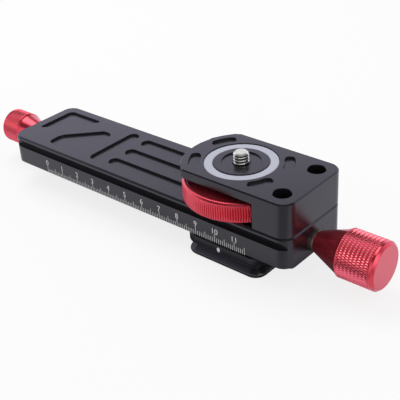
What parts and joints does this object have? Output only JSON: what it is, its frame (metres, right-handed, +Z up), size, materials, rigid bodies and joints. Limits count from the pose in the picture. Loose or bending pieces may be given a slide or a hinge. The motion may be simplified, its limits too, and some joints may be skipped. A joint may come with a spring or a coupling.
{
  "type": "macro focusing rail",
  "caption": "Long dovetail rail on a square clamping foot, moved by a lead screw with a red knurled knob at each end, with a camera platform, thumb wheel and camera screw.",
  "frame": {"origin": "centre of the foot's underside, on the axis of the tripod thread", "axes": "+X along the rail towards the large knob, +Y across the rail to the far side, +Z up along the camera screw"},
  "size_m": [0.2126, 0.0484, 0.0432],
  "materials": {
    "anodised_black": "matte charcoal anodised",
    "anodised_red": "red anodised, knurled grips",
    "brass": "machined",
    "steel": "ground",
    "bright_steel": "polished thread",
    "dark_steel": "black oxide",
    "ring_rubber": "pale grey-blue, matte",
    "acetal": "natural acetal"
  },
  "bodies": {
    "foot": {"foot_plate": "anodised_black", "foot_screws": "dark_steel", "carriage": "anodised_black", "slide_liner_near": "acetal", "slide_liner_far": "acetal", "lead_nut": "brass", "nut_screws": "dark_steel"},
    "rail": {"rail_body": "anodised_black", "end_plug_right": "anodised_black", "end_plug_left": "anodised_black", "plug_screws": "dark_steel", "bushing_right": "brass", "bushing_left": "brass", "platform_block": "anodised_black", "platform_screws": "dark_steel", "rubber_ring": "ring_rubber", "wheel_washer_lower": "acetal", "wheel_washer_upper": "acetal"},
    "drive": {"lead_screw": "steel", "big_knob": "anodised_red", "small_knob": "anodised_red", "knob_grub_screws": "dark_steel", "thrust_washer": "acetal", "spring_washer": "steel"},
    "camera_screw": {"camera_wheel": "anodised_red", "camera_stud": "bright_steel", "stud_screws": "dark_steel"}
  },
  "joints": [
    {"name": "rail_travel", "type": "slide", "parent": "foot", "child": "rail", "axis": [1, 0, 0], "range_m": [-0.0133, 0.1017]},
    {"name": "drive_spin", "type": "hinge", "parent": "rail", "child": "drive", "pos_m": [0, 0, 0.015], "axis": [1, 0, 0], "range_deg": [-3831, 29290]},
    {"name": "camera_screw_spin", "type": "hinge", "parent": "rail", "child": "camera_screw", "pos_m": [-0.003, 0, 0.03], "axis": [0, 0, 1], "continuous": true}
  ],
  "couplings": [
    {"joint": "drive_spin", "follows": "rail_travel", "rad_per_m": 5026.5}
  ]
}
